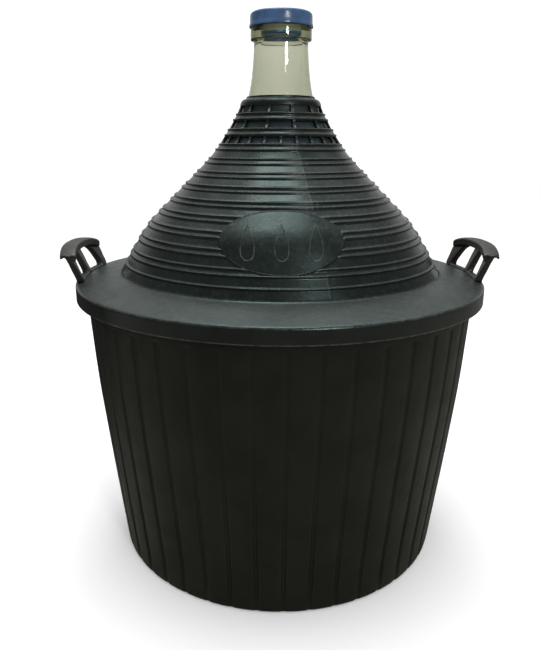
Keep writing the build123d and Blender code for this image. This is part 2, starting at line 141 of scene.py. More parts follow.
def lathe(r, z, azimuths, loop, skipped=None):
    """bmesh of a grid turned about the Z axis.

    r and z are rows by columns in mm, azimuths are in radians, loop joins the last
    row to the first, and skipped marks the quads to leave open.
    """
    bm = bmesh.new()
    x, y = r * np.cos(azimuths) * MM, r * np.sin(azimuths) * MM
    rows, cols = r.shape
    grid = [[None] * cols for _ in range(rows)]
    for i in range(rows):
        if not loop and i in (0, rows - 1) and r[i].max() < 1e-6:
            grid[i] = [bm.verts.new((0, 0, z[i, 0] * MM))] * cols
            continue
        for j in range(cols):
            grid[i][j] = bm.verts.new((x[i, j], y[i, j], z[i, j] * MM))
    for i in range(rows if loop else rows - 1):
        lower, upper = grid[i], grid[(i + 1) % rows]
        for j in range(cols):
            if skipped is not None and skipped[i, j]:
                continue
            k = (j + 1) % cols
            corners = [lower[j], lower[k], upper[k], upper[j]]
            bm.faces.new(list(dict.fromkeys(corners)))
    return bm, grid


def turned(name, outline, material, columns=160, loop=True):
    """Object turned from a plain outline."""
    azimuths = np.linspace(0, 2 * math.pi, columns, endpoint=False)
    r = np.repeat(outline[:, :1], columns, axis=1)
    z = np.repeat(outline[:, 1:], columns, axis=1)
    bm, _ = lathe(r, z, azimuths, loop)
    bmesh.ops.recalc_face_normals(bm, faces=bm.faces)
    return mesh_object(name, bm, material)


def place(obj, body, slot, *nodes):
    """Let a finished piece ride on its body, standing for CAD nodes; slot is not used."""
    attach(obj, body)
    if nodes:
        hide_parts(*nodes)
    return obj


# ---- materials -----------------------------------------------------------------------
class Nodes:
    """Short way to write a node tree."""

    def __init__(self, name, kind="materials"):
        self.owner = getattr(bpy.data, kind).new(name)
        self.owner.use_nodes = True
        self.tree = self.owner.node_tree
        self.bsdf = self.tree.nodes.get("Principled BSDF")
        self.place = self.add("ShaderNodeTexCoord").outputs["Object"]

    def add(self, kind, **settings):
        node = self.tree.nodes.new(kind)
        for key, value in settings.items():
            setattr(node, key, value)
        return node

    def link(self, output, target):
        self.tree.links.new(output, target)

    def noise(self, scale, detail=2.0, stretch=None, roughness=0.5):
        """Noise value; scale counts features per metre, stretch scales the three axes."""
        place = self.place
        if stretch:
            mapping = self.add("ShaderNodeMapping")
            mapping.inputs["Scale"].default_value = stretch
            self.link(place, mapping.inputs["Vector"])
            place = mapping.outputs["Vector"]
        node = self.add("ShaderNodeTexNoise")
        node.inputs["Scale"].default_value = scale
        node.inputs["Detail"].default_value = detail
        node.inputs["Roughness"].default_value = roughness
        self.link(place, node.inputs["Vector"])
        return node.outputs["Fac"]

    def ramp(self, value, low, high, low_out=0.0, high_out=1.0):
        """Value mapped from low..high to low_out..high_out, clamped."""
        node = self.add("ShaderNodeMapRange", interpolation_type="SMOOTHSTEP")
        node.inputs["From Min"].default_value = low
        node.inputs["From Max"].default_value = high
        node.inputs["To Min"].default_value = low_out
        node.inputs["To Max"].default_value = high_out
        self.link(value, node.inputs["Value"])
        return node.outputs["Result"]

    def math(self, operation, a, b):
        node = self.add("ShaderNodeMath", operation=operation)
        for socket, value in zip(node.inputs, (a, b)):
            if isinstance(value, (int, float)):
                socket.default_value = value
            else:
                self.link(value, socket)
        return node.outputs["Value"]

    def mix(self, factor, a, b):
        """Colour between a and b."""
        node = self.add("ShaderNodeMix", data_type="RGBA")
        self.link(factor, node.inputs["Factor"])
        for socket, value in ((node.inputs["A"], a), (node.inputs["B"], b)):
            if isinstance(value, tuple):
                socket.default_value = (*value, 1)
            else:
                self.link(value, socket)
        return node.outputs["Result"]

    def bump(self, height, distance, strength=1.0, base=None):
        node = self.add("ShaderNodeBump")
        node.inputs["Strength"].default_value = strength
        node.inputs["Distance"].default_value = distance
        self.link(height, node.inputs["Height"])
        if base:
            self.link(base, node.inputs["Normal"])
        return node.outputs["Normal"]


UPRIGHT_SHADE_TINT = (0.68, 0.64, 0.624)     # specular tint of upright walls, dimmed and greyed as painted shade
WORN_TONE = (0.06, 0.065, 0.06)
DUST_TONE = (0.11, 0.115, 0.105)


def moulded_plastic(name, colour, roughness, specular, sheen, dust):
    """Black polyethylene: fine grain, flow marks, light scuffs, worn edges and dust, and painted shade that
    dims the reflections of upright walls.
    """
    n = Nodes(name)
    dark = tuple(c * 0.88 for c in colour)
    light = tuple(c * 1.2 + 0.0004 for c in colour)
    blotches = n.ramp(n.noise(22, 4), 0.35, 0.65)
    tone = n.mix(blotches, dark, light)
    edges = n.ramp(n.add("ShaderNodeNewGeometry").outputs["Pointiness"], 0.515, 0.56)
    rub = n.math("MULTIPLY", edges, n.ramp(n.noise(140, 3), 0.3, 0.7, 0.15, 0.8))
    tone = n.mix(rub, tone, WORN_TONE)
    up = n.add("ShaderNodeSeparateXYZ")
    n.link(n.add("ShaderNodeNewGeometry").outputs["Normal"], up.inputs["Vector"])
    lying = n.ramp(up.outputs["Z"], 0.3, 0.95)
    speckle = n.ramp(n.noise(210, 5, roughness=0.65), 0.45, 0.75)
    settled = n.math("MULTIPLY", n.math("MULTIPLY", lying, speckle), dust)
    tone = n.mix(settled, tone, DUST_TONE)
    n.link(tone, n.bsdf.inputs["Base Color"])
    scratches = n.ramp(n.noise(30, 3, stretch=(16, 16, 0.7)), 0.56, 0.7)
    scuffs = n.ramp(n.noise(55, 3), 0.5, 0.8)
    rough = n.ramp(n.noise(35, 3), 0.3, 0.7, roughness - 0.03, roughness + 0.05)
    rough = n.math("ADD", rough, n.math("MULTIPLY", scuffs, 0.08))
    rough = n.math("ADD", rough, n.ramp(up.outputs["Z"], 0.82, 0.93, 0.0, 0.16))
    n.link(n.math("SUBTRACT", rough, n.math("MULTIPLY", scratches, 0.05)), n.bsdf.inputs["Roughness"])
    n.bsdf.inputs["Specular IOR Level"].default_value = specular
    # upright walls take a dimmer, greyer specular tint than the rest: painted shade
    steep = n.ramp(up.outputs["Z"], 0.08, 0.34)
    n.link(n.mix(steep, UPRIGHT_SHADE_TINT, sheen), n.bsdf.inputs["Specular Tint"])
    skin = n.bump(n.noise(70, 3), 0.0009, 0.16)
    skin = n.bump(n.noise(1300, 2), 0.00006, 1.0, skin)
    skin = n.bump(scratches, 0.00008, 0.6, skin)
    n.link(skin, n.bsdf.inputs["Normal"])
    return n.owner


def gloss_plastic(name, colour, roughness=0.16, translucency=0.0):
    """Coloured polyethylene with a faint orange-peel skin."""
    n = Nodes(name)
    dark = tuple(c * 0.82 for c in colour)
    light = tuple(min(1, c * 1.12) for c in colour)
    n.link(n.mix(n.ramp(n.noise(60, 4), 0.35, 0.65), dark, light), n.bsdf.inputs["Base Color"])
    n.link(n.ramp(n.noise(180, 4), 0.35, 0.75, roughness, roughness + 0.14), n.bsdf.inputs["Roughness"])
    n.bsdf.inputs["Subsurface Weight"].default_value = translucency
    n.bsdf.inputs["Subsurface Radius"].default_value = (0.2, 0.4, 1.0)
    n.bsdf.inputs["Subsurface Scale"].default_value = 0.003
    skin = n.bump(n.noise(160, 2), 0.0004, 0.25)
    skin = n.bump(n.noise(1500, 2), 0.00002, 1.0, skin)
    n.link(skin, n.bsdf.inputs["Normal"])
    return n.owner


GLASS_TINT = (0.42, 0.44, 0.24)
GLASS_DENSITY = 96.0             # absorption per metre
GLASS_PASSES = 0.85              # share of shadow and diffuse rays let straight through


def bottle_glass(name):
    """Pale green soda glass: darker where it is thick, slow ripples, faint streaks."""
    n = Nodes(name)
    streaks = n.ramp(n.noise(9, 2, stretch=(6, 6, 0.6)), 0.3, 0.7)
    n.link(n.mix(streaks, (0.97, 0.97, 0.965), (0.99, 0.99, 0.985)), n.bsdf.inputs["Base Color"])
    n.link(n.ramp(n.noise(40, 3), 0.45, 0.8, 0.0, 0.03), n.bsdf.inputs["Roughness"])
    n.bsdf.inputs["Transmission Weight"].default_value = 1.0
    n.bsdf.inputs["IOR"].default_value = 1.5
    ripple = n.bump(n.noise(14, 2, stretch=(1, 1, 0.4)), 0.002, 0.12)
    n.link(ripple, n.bsdf.inputs["Normal"])
    # most light from the room passes to what stands behind the glass
    path = n.add("ShaderNodeLightPath")
    passing = n.math("MAXIMUM", path.outputs["Is Shadow Ray"], path.outputs["Is Diffuse Ray"])
    n.link(n.math("SUBTRACT", 1.0, n.math("MULTIPLY", passing, GLASS_PASSES)), n.bsdf.inputs["Alpha"])
    volume = n.add("ShaderNodeVolumeAbsorption")
    volume.inputs["Color"].default_value = (*GLASS_TINT, 1)
    volume.inputs["Density"].default_value = GLASS_DENSITY
    n.link(volume.outputs["Volume"], n.tree.nodes["Material Output"].inputs["Volume"])
    return n.owner


# colour, roughness, specular level, sheen, dust
basket_plastic = moulded_plastic(
    "basket_plastic", (0.0055, 0.0056, 0.0044), 0.42, 0.30, (0.95, 1.0, 0.9), 0.2)
cover_plastic = moulded_plastic(
    "cover_plastic", (0.0045, 0.0060, 0.0055), 0.26, 0.5, (0.70, 1.0, 0.94), 0.25)
# dark plastic of the sleeve behind the windows, a sheet that stands in for the shade inside the cover
shade_sleeve_plastic = moulded_plastic(
    "shade_sleeve_plastic", (0.014, 0.020, 0.022), 0.4, 0.4, (0.80, 1.0, 1.0), 0.1)
handle_plastic = moulded_plastic(
    "handle_plastic", (0.0100, 0.0110, 0.0080), 0.36, 0.42, (0.95, 1.0, 0.88), 0.3)
glass = bottle_glass("bottle_glass")
cap_blue = gloss_plastic("cap_blue", (0.036, 0.078, 0.165), 0.2)
stopper_blue = gloss_plastic("stopper_blue", (0.02, 0.28, 0.88), 0.2, 0.2)
stopper_pale = gloss_plastic("stopper_pale", (0.95, 0.95, 0.88), 0.3, 0.4)


# ---- basket --------------------------------------------------------------------------
SLAT_FACE = [(210.3, 11.3), (223.1, 127.6), (233.8, 230.5), (240.7, 336.5)]
FOOT_R = 197.6
RECESS_R = 175.0
FLOOR_Z = GLASS_BASE_Z - 0.1
GROOVE_DEPTH = (3.0, 1.7)        # at the foot and under the rim
GROOVE_HALF_W = 3.9
GROOVE_TOP_Z = 320.0
SLAT_CROWN = 0.7
BASKET_WALL = 4.4
# azimuths of mesh columns beside each groove's middle, degrees
GROOVE_OFFSETS = [0, 0.22, 0.44, 0.66, 0.88, 1.1, 1.4, 2.1, 3.1]


def make_basket():
    """Basket with a slatted outside, a rim, a floor and a foot ring."""
    face = rounded(SLAT_FACE, 30, 8)
    face_stations = np.arange(0, along(face)[-1], 5.0)
    face_stations = np.unique(np.concatenate([
        face_stations,
        np.interp(np.arange(GROOVE_TOP_Z - 4, GROOVE_TOP_Z + 3, 0.8), face[:, 1], along(face)),
    ]))
    face, _ = resampled(face, face_stations)
    foot = rounded([(RECESS_R + 4, 0.0), (FOOT_R, 0.0), (208.5, 0.2), SLAT_FACE[0]], [0, 1.5, 9.0, 0], 8)
    rim = rounded(
        [SLAT_FACE[-1], (BASKET_RIM_R, BASKET_RIM_Z - 6), (BASKET_RIM_R, BASKET_RIM_Z),
         (237.2, BASKET_RIM_Z), (SLAT_FACE[-1][0] - BASKET_WALL, SLAT_FACE[-1][1] - 2)],
        [0, 1.5, 1.2, 1.0, 0], 4,
    )
    inside = [(r - BASKET_WALL, z) for r, z in reversed(SLAT_FACE)]
    inside += [(200.0, 3.5), (RECESS_R + 6, 3.5), (RECESS_R + 2, FLOOR_Z), (0, FLOOR_Z)]
    inside = rounded(inside, [0, 30, 30, 3, 6, 2, 2, 0], 4)
    under = rounded([(0, FLOOR_Z - 3.5), (RECESS_R, FLOOR_Z - 3.5), (RECESS_R + 4, 0.0)], [0, 1.5, 0], 3)
    outline = np.concatenate([under, foot[1:], face[1:], rim[1:], inside[1:]])
    pitch = 360 / SLAT_COUNT
    first = MOULD_TURN - 90
    offsets = sorted(GROOVE_OFFSETS + [-o for o in GROOVE_OFFSETS[1:]] + [pitch / 2])
    azimuths = np.radians([first + pitch * k + o for k in range(SLAT_COUNT) for o in offsets])
    r = np.repeat(outline[:, :1], len(azimuths), axis=1)
    z = np.repeat(outline[:, 1:], len(azimuths), axis=1)
    outer_rows = np.zeros(len(outline), bool)
    outer_rows[len(under) + 2:len(under) + len(foot) + len(face) - 2] = True
    depth = np.interp(z, (40, 260), GROOVE_DEPTH)
    top_end = 1 - smoothstep(GROOVE_TOP_Z - 3, GROOVE_TOP_Z + 1, z)
    foot_end = smoothstep(FOOT_R + 4, FOOT_R + 11, r) * (0.3 + 0.7 * smoothstep(3, 34, z))
    from_groove = (np.degrees(azimuths) - first + pitch / 2) % pitch - pitch / 2
    distance = np.abs(np.radians(from_groove)) * r
    half_slat = math.radians(pitch / 2) * r
    groove = 1 - smoothstep(0.25 * GROOVE_HALF_W, GROOVE_HALF_W, distance)
    crown = ((half_slat - distance) / np.maximum(half_slat, 0.01)) ** 2
    inward = (depth * groove + SLAT_CROWN * crown * (1 - groove)) * top_end * foot_end
    uneven = wobble(azimuths, z, 0.35, 3)
    r = r - np.where(outer_rows[:, None], inward, 0) + np.where(z > 30, uneven, 0) * (r > 100)
    bm, _ = lathe(r, z, azimuths, loop=False)
    bmesh.ops.recalc_face_normals(bm, faces=bm.faces)
    return mesh_object("basket_shell", bm, basket_plastic)


place(make_basket(), "basket", "basket_plastic", "basket")


# ---- glass carboy --------------------------------------------------------------------
GLASS_MAX_Z = 257.3
SHOULDER_RADIUS = 147.5
SHOULDER_TOP_Z = 355.1
BARREL_TAPER = 6.3
DOME_TOP = (88.5, 465.2)
THROAT_TOP = (43.2, 545.5)
GLASS_WALL = 4.3
NECK = [(37.4, 568.0), (34.9, 582.0), (33.0, 600.0), (31.9, 617.0), (31.9, 622.5)]
BEAD_R = 35.8
BEAD_Z = 624.4
BEAD_TOP_Z = 637.8
FINISH_R = 33.9
BORE_R = 24.2
INNER_NECK = [(BORE_R, MOUTH_Z), (BORE_R, 628.0), (25.6, 622.0),
              (27.0, 592.0), (29.2, 574.0), (31.6, 563.0)]
PUSH_UP_R = 149.0                # the base is pushed up inside this radius
PUSH_UP_H = 13.0
INSIDE_Z = 15.6                  # lowest ring of the hollow
INNER_FOOT_Z = 62.0
GLASS_COLUMNS = 200


def arc(start, normal_angle, end, steps):
    """Arc from start to end, leaving start square to normal_angle; also its end angle."""
    slope = math.degrees(math.atan2(end[1] - start[1], start[0] - end[0]))
    end_angle = 2 * (90 - slope) - normal_angle
    radius = math.dist(start, end) / 2 / math.sin(math.radians((end_angle - normal_angle) / 2))
    a0 = math.radians(normal_angle)
    centre = (start[0] - radius * math.cos(a0), start[1] - radius * math.sin(a0))
    angles = np.radians(np.linspace(normal_angle, end_angle, steps))
    points = np.stack([centre[0] + radius * np.cos(angles), centre[1] + radius * np.sin(angles)], axis=1)
    return points, end_angle


def bottle_side():
    """Outside of the bottle as barrel, shoulder, dome and throat, from the foot upwards."""
    end = math.degrees(math.asin((SHOULDER_TOP_Z - GLASS_MAX_Z) / SHOULDER_RADIUS))
    angles = np.radians(np.linspace(-BARREL_TAPER, end, 40))
    centre_r = GLASS_MAX_R - SHOULDER_RADIUS
    shoulder = np.stack([centre_r + SHOULDER_RADIUS * np.cos(angles),
                         GLASS_MAX_Z + SHOULDER_RADIUS * np.sin(angles)], axis=1)
    dome, end = arc(shoulder[-1], end, DOME_TOP, 24)
    throat, _ = arc(dome[-1], end, THROAT_TOP, 24)
    drop = shoulder[0][1] - GLASS_BASE_Z
    foot = (shoulder[0][0] - drop * math.tan(math.radians(BARREL_TAPER)), GLASS_BASE_Z)
    barrel = np.linspace(foot, shoulder[0], 24)
    return barrel, shoulder, dome, throat


def push_up(base_z, radii):
    """Raised middle of the bottle's base, as outline points at the given radii."""
    return [(r, base_z + PUSH_UP_H * (1 - (r / PUSH_UP_R) ** 2)) for r in radii]


def make_glass():
    """Hollow bottle; its inside ripples a little against its outside."""
    barrel, shoulder, dome, throat = bottle_side()
    body = np.concatenate([shoulder, dome[1:], throat[1:]])
    base = push_up(GLASS_BASE_Z, np.linspace(0, PUSH_UP_R, 16))
    heel = rounded([(PUSH_UP_R, GLASS_BASE_Z), barrel[0], barrel[8]], [0, 42, 0], 12)
    neck = rounded([throat[-2], throat[-1], *NECK], [0, 4, 6, 9, 9, 6, 0], 6)
    bead = rounded(
        [NECK[-1], (NECK[-1][0] + 0.6, BEAD_Z), (BEAD_R, BEAD_Z + 0.7), (BEAD_R, BEAD_TOP_Z - 1.5),
         (FINISH_R, BEAD_TOP_Z), (FINISH_R, MOUTH_Z), (BORE_R, MOUTH_Z)],
        [0, 0.8, 0.9, 1.5, 1.0, 2.5, 0], 8,
    )
    outside = np.concatenate([base, heel[1:], barrel[9:], body[1:], neck[2:], bead[1:]])
    steps, normals = resampled(body, along(body))
    inner_body = (steps + normals * GLASS_WALL)[::-1]
    inner_neck = rounded([*INNER_NECK, inner_body[0], inner_body[1]], [0, 3, 3, 9, 9, 6, 4, 0], 6)
    taper = math.tan(math.radians(BARREL_TAPER))
    inner_foot = (inner_body[-1][0] - (inner_body[-1][1] - INNER_FOOT_Z) * taper, INNER_FOOT_Z)
    inner_heel = rounded([inner_foot, (inner_foot[0] - 5.0, INSIDE_Z), (PUSH_UP_R, INSIDE_Z)], [0, 40, 0], 12)
    inner_barrel = np.linspace(inner_body[-1], inner_foot, 16)
    inner_base = push_up(INSIDE_Z, np.linspace(PUSH_UP_R, 0, 16))
    outline = np.concatenate([
        outside, inner_neck[1:-1], inner_body[1:], inner_barrel[1:], inner_heel[1:], inner_base[1:],
    ])
    azimuths = np.linspace(0, 2 * math.pi, GLASS_COLUMNS, endpoint=False)
    r = np.repeat(outline[:, :1], GLASS_COLUMNS, axis=1)
    z = np.repeat(outline[:, 1:], GLASS_COLUMNS, axis=1)
    inner = np.arange(len(outline)) > len(outside) + 4
    ripple = wobble(azimuths, z * 2, 0.25, 11)
    r = r + np.where(inner[:, None] & (r > 10), ripple, 0)
    bm, _ = lathe(r, z, azimuths, loop=False)
    bmesh.ops.recalc_face_normals(bm, faces=bm.faces)
    return mesh_object("carboy_bottle", bm, glass)


place(make_glass(), "bottle", "bottle_glass", "glass_carboy")


# ---- stopper and cap -----------------------------------------------------------------
DISC_H = 2.6
DISC_TEETH = 64
KNURL_DEPTH = 0.35
SEAL_HEIGHTS = (4.0, 9.5, 15.0)  # ring seals, above the disc


def make_stopper():
    """Pale plug pressed into the bore, with ring seals, and a rim on the mouth."""
    seal_r = BORE_R - 0.05
    body_r = seal_r - 0.6
    low = STOPPER_BOTTOM_Z + DISC_H
    outline = [(0, low), (body_r, low)]
    for height in SEAL_HEIGHTS:
        ring_z = low + height
        outline += [(body_r, ring_z - 1.2), (seal_r, ring_z), (body_r, ring_z + 1.2)]
    under_rim = MOUTH_Z + 0.1
    outline += [(body_r, under_rim), (STOPPER_RIM_R, under_rim), (STOPPER_RIM_R, STOPPER_TOP_Z),
                (body_r - 2, STOPPER_TOP_Z), (body_r - 2, low + 2), (0, low + 2)]
    radii = [0, 0.8] + [0.6] * 9 + [0.4, 0.5, 0.5, 0.8, 1.5, 0]
    return turned("stopper_plug", rounded(outline, radii, 4), stopper_pale, 120, loop=False)


def make_stopper_disc():
    """Blue disc under the plug; a fine knurl runs round its edge."""
    edge_r = BORE_R - 0.1
    low = STOPPER_BOTTOM_Z
    outline = rounded(
        [(0, low + 0.4), (edge_r - 6, low + 0.4), (edge_r - 5, low), (edge_r - 1.0, low),
         (edge_r, low + 0.6), (edge_r, low + DISC_H), (0, low + DISC_H)],
        [0, 0.5, 0.5, 0.5, 0.3, 0.3, 0], 4,
    )
    azimuths = np.linspace(0, 2 * math.pi, DISC_TEETH * 6, endpoint=False)
    r = np.repeat(outline[:, :1], len(azimuths), axis=1)
    z = np.repeat(outline[:, 1:], len(azimuths), axis=1)
    knurl = KNURL_DEPTH * (1 + np.cos(DISC_TEETH * azimuths)) / 2
    r = r - knurl * smoothstep(edge_r - 1.5, edge_r - 0.5, r)
    bm, _ = lathe(r, z, azimuths, loop=False)
    bmesh.ops.recalc_face_normals(bm, faces=bm.faces)
    return mesh_object("stopper_disc", bm, stopper_blue)


def make_cap():
    """Cap with a flared lip and a slightly sunken top."""
    inside_r = FINISH_R + 0.05
    inside_z = STOPPER_TOP_Z + 0.1
    side_r = CAP_LIP_R - 0.9
    outline = rounded(
        [(0, inside_z), (inside_r, inside_z), (inside_r, CAP_BOTTOM_Z), (CAP_LIP_R, CAP_BOTTOM_Z),
         (CAP_LIP_R - 0.1, CAP_BOTTOM_Z + 2.4), (side_r, CAP_BOTTOM_Z + 4.6),
         (side_r - 0.3, CAP_TOP_Z - 1.2), (side_r - 8, CAP_TOP_Z), (side_r - 12, CAP_TOP_Z - 0.5),
         (0, CAP_TOP_Z - 0.5)],
        [0, 1.0, 0.5, 0.9, 1.5, 2.0, 4.8, 2.0, 2.0, 0], 8,
    )
    return turned("cap_shell", outline, cap_blue, 180, loop=False)


place(make_stopper(), "stopper", "stopper_plastic", "inner_stopper")
place(make_stopper_disc(), "stopper", "stopper_plastic")
place(make_cap(), "cap", "cap_plastic", "outer_cap")


# ---- shoulder cover ------------------------------------------------------------------
BELL = [(49.4, 548.2), (67.3, 517.4), (82.8, 495.6), (164.4, 413.7), FLANGE_ROOT]
BELL_RADII = [4, 14, 20, 16, 1.2]
NECK_OPENING_R = 39.9
COLLAR = [(NECK_OPENING_R + 0.3, COLLAR_Z - 0.3), (NECK_OPENING_R + 1.1, COLLAR_Z),
          (NECK_OPENING_R + 1.4, COLLAR_Z - 2.4), (45.9, COLLAR_Z - 3.9), (48.4, COLLAR_Z - 7.5)]
COLLAR_RADII = [0.3, 0.5, 0.7, 2.0, 3.0]
RIB_H = 1.6
RIB_HALF_W = 2.0
RIB_FIRST = 6.6
RIB_PITCH = 20.3
RIB_GAP = 7.1
RIB_PAIRS = 11
SEAM_AZIMUTH = 15.0              # of the two mould seams, from the middle of the front and back
SEAM_H = 0.16
# lowest and highest z, radius, number of windows, width of a bar, azimuth of a bar
WINDOW_ROWS = [
    (543.8, 551.8, 50.0, 12, 3.9, 15.0),
    (526.5, 534.9, 60.0, 12, 3.9, 15.0),
    (509.6, 517.3, 70.0, 24, 3.3, 0.0),
]
WINDOW_EDGE_R = 0.45
PLAQUE_Z = 411.5
PLAQUE_HALF_W = 66.4
PLAQUE_HALF_H = 31.1
PLAQUE_RISE = 1.3


def bell_outline():
    """Outside of the bell, and the distance along it where it begins under the collar."""
    points = [*COLLAR, *BELL, (FLANGE_R, FLANGE_Z), (FLANGE_R, SKIRT_BOTTOM_Z)]
    outline = rounded(points, [*COLLAR_RADII, *BELL_RADII, 2.6, 0], 8)
    start = along(outline)[np.argmin(np.linalg.norm(outline - BELL[0], axis=1))]
    return outline, start


def rib_places(start):
    pairs = [start + RIB_FIRST + RIB_PITCH * k for k in range(RIB_PAIRS + 1)]
    return np.array(pairs + [p + RIB_GAP for p in pairs[:-1]])


def window_columns():
    """Azimuths in degrees of the sides of every window, as (row, left, right)."""
    sides = []
    for row, (_, _, radius, count, bar, first) in enumerate(WINDOW_ROWS):
        half_bar = math.degrees(bar / radius) / 2
        for k in range(count):
            left = WINDOW_TURN - 90 + first + 360 / count * k + half_bar
            sides.append((row, left, left + 360 / count - 2 * half_bar))
    return sides


def outer_stations(length, ribs, window_s):
    """Distances of the outer rows: close on the collar, the ribs and the skirt."""
    stations = [*np.arange(0, 10, 0.4), *np.arange(10, 24, 1.0), *np.arange(24, length - 30, 2.5)]
    stations += [*np.arange(length - 30, length, 1.5), length]
    stations += [p + o for p in ribs for o in np.linspace(-RIB_HALF_W, RIB_HALF_W, 9)]
    stations = np.unique(np.round(stations, 3))
    for low, high in zip(window_s[1::2], window_s[0::2]):
        stations = stations[(stations < low - 0.2) | (stations > high + 0.2)]
    return np.sort(np.concatenate([stations, window_s]))


def inner_stations(start, length, window_s):
    """Distances of the inner rows; none lies inside a window."""
    stations = np.sort(np.concatenate([np.arange(start, length, 8.0), [length], window_s]))
    for low, high in zip(window_s[1::2], window_s[0::2]):
        stations = stations[(stations <= low + 1e-6) | (stations >= high - 1e-6)]
    return stations


def rib_heights(stations, ribs):
    heights = np.zeros(len(stations))
    for p in ribs:
        t = np.clip((stations - p) / RIB_HALF_W, -1, 1)
        heights = np.maximum(heights, RIB_H * np.cos(t * math.pi / 2) ** 1.3)
    return heights


def cover_columns(sides, seams):
    """Azimuths in degrees of the mesh columns; window sides and seams have their own."""
    edges = sorted({round(a % 360, 4) for _, left, right in sides for a in (left, right)})
    edges += [(s + o) % 360 for s in seams for o in (-0.5, -0.25, 0, 0.25, 0.5)]
    columns = [c for c in np.arange(0, 360, 0.75) if min(abs(c - e) for e in edges) > 0.3]
    return np.array(sorted(columns + edges))


def wall_windows(bm, grid, walls):
    """Wall each window between the outer and the inner skin, and round its outer rim."""
    rims = []
    for top, bottom, in_top, in_bottom, span in walls:
        for row, in_row in ((top, in_top), (bottom, in_bottom)):
            for j, k in zip(span, span[1:]):
                bm.faces.new([grid[row][j], grid[row][k], grid[in_row][k], grid[in_row][j]])
                rims.append((grid[row][j], grid[row][k]))
        for j in (span[0], span[-1]):
            bm.faces.new([grid[top][j], grid[bottom][j], grid[in_bottom][j], grid[in_top][j]])
            rims.append((grid[top][j], grid[bottom][j]))
    bmesh.ops.recalc_face_normals(bm, faces=bm.faces)
    rim_edges = [e for e in (bm.edges.get(pair) for pair in rims) if e]
    bmesh.ops.bevel(bm, geom=rim_edges, offset=WINDOW_EDGE_R * MM, segments=2, profile=0.5, affect="EDGES")


def make_cover():
    """Bell with ribs and windows, its flange and its skirt, as one closed skin."""
    outline, bell_start = bell_outline()
    length = along(outline)[-1]
    ribs = rib_places(bell_start)
    below_lip = outline[:, 1] < COLLAR[3][1] + 0.5
    window_z = [z for row in WINDOW_ROWS for z in row[:2]]
    window_s = np.interp([-z for z in window_z], -outline[below_lip, 1], along(outline)[below_lip])
    out_s = outer_stations(length, ribs, window_s)
    in_s = inner_stations(along(outline)[below_lip][0], length, window_s)
    outer, normals = resampled(outline, out_s)
    inner, inner_normals = resampled(outline, in_s)
    inner = (inner - inner_normals * COVER_WALL)[::-1]
    mouth = np.array([(NECK_OPENING_R, COLLAR_Z - 5.2), (NECK_OPENING_R, COLLAR_Z - 0.6)])
    section = np.concatenate([outer, inner, mouth])
    rib_offset = normals * rib_heights(out_s, ribs)[:, None]
    rib_offset = np.concatenate([rib_offset, np.zeros_like(inner), np.zeros_like(mouth)])

    sides = window_columns()
    seams = [WINDOW_TURN + middle + SEAM_AZIMUTH for middle in (-90, 90)]
    columns = cover_columns(sides, seams)
    azimuths = np.radians(columns)
    r = np.repeat(section[:, :1], len(columns), axis=1)
    z = np.repeat(section[:, 1:], len(columns), axis=1)

    # ribs stop at the plaque, seams run down the bell, and the wall is a little uneven
    uneven = wobble(azimuths, z * 1.5, 0.22, 7) * smoothstep(60, 120, r)
    across = r * np.cos(azimuths) / PLAQUE_HALF_W
    from_plaque = np.hypot(across, (z - PLAQUE_Z) / PLAQUE_HALF_H)
    kept = np.where(np.sin(azimuths) < 0, smoothstep(0.93, 0.99, from_plaque), 1)
    r, z = r + kept * rib_offset[:, :1], z + kept * rib_offset[:, 1:]
    from_seams = [(columns - s % 360 + 180) % 360 - 180 for s in seams]
    seam_rise = SEAM_H * sum(np.exp(-((d / 0.3) ** 2)) for d in from_seams)
    outer_rows = (np.arange(len(section)) < len(outer))[:, None]
    on_bell = outer_rows & (z < BELL[0][1] - 30) & (z > FLANGE_ROOT[1] + 2)
    r = r + uneven + np.where(on_bell, seam_rise, 0)

    skipped = np.zeros(r.shape, bool)
    walls = []
    inner_rows = len(outer) + len(inner) - 1 - np.arange(len(in_s))
    for row, left, right in sides:
        high_s, low_s = window_s[2 * row], window_s[2 * row + 1]
        top, bottom = np.argmin(abs(out_s - low_s)), np.argmin(abs(out_s - high_s))
        in_top = inner_rows[np.argmin(abs(in_s - low_s))]
        in_bottom = inner_rows[np.argmin(abs(in_s - high_s))]
        j0 = np.argmin(abs(columns - left % 360))
        j1 = np.argmin(abs(columns - right % 360))
        span = [(j0 + k) % len(columns) for k in range((j1 - j0) % len(columns))]
        skipped[top, span] = True
        skipped[in_bottom, span] = True
        walls.append((top, bottom, in_top, in_bottom, span + [j1]))
    bm, grid = lathe(r, z, azimuths, loop=True, skipped=skipped)
    wall_windows(bm, grid, walls)
    return mesh_object("cover_shell", bm, cover_plastic)


place(make_cover(), "cover", "cover_plastic", "shoulder_cover")


SLEEVE = [(46.0, 557.2), (46.0, 552.0), (45.8, 548.2), (46.8, 545.0), (62.9, 517.4), (70.0, 507.4)]
SLEEVE_LENGTH = 56.5             # along its outside, from the collar down
SLEEVE_WALL = 1.5


def make_shade_sleeve():
    """Dark sleeve that hangs from the collar, close behind the windows; a sheet that stands in for the shade
    inside the cover that the windows show.
    """
    outline = rounded(SLEEVE, [0, 2, 1.5, 3, 12, 0], 5)
    outer, normals = resampled(outline, np.linspace(0, SLEEVE_LENGTH, 42))
    inner = (outer - normals * SLEEVE_WALL)[::-1]
    return turned("cover_shade_sleeve", np.concatenate([outer, inner]), shade_sleeve_plastic, 160)


place(make_shade_sleeve(), "cover", "cover_plastic")


# ---- oval plaque with a plain border and three droplets --------------------------------
DROPLET_SIZE = 17.0
DROPLET_SPACING = 35.0
DROPLET_LINE_R = 0.75
DROPLET_STEPS = 96
LINE_SIDES = 10


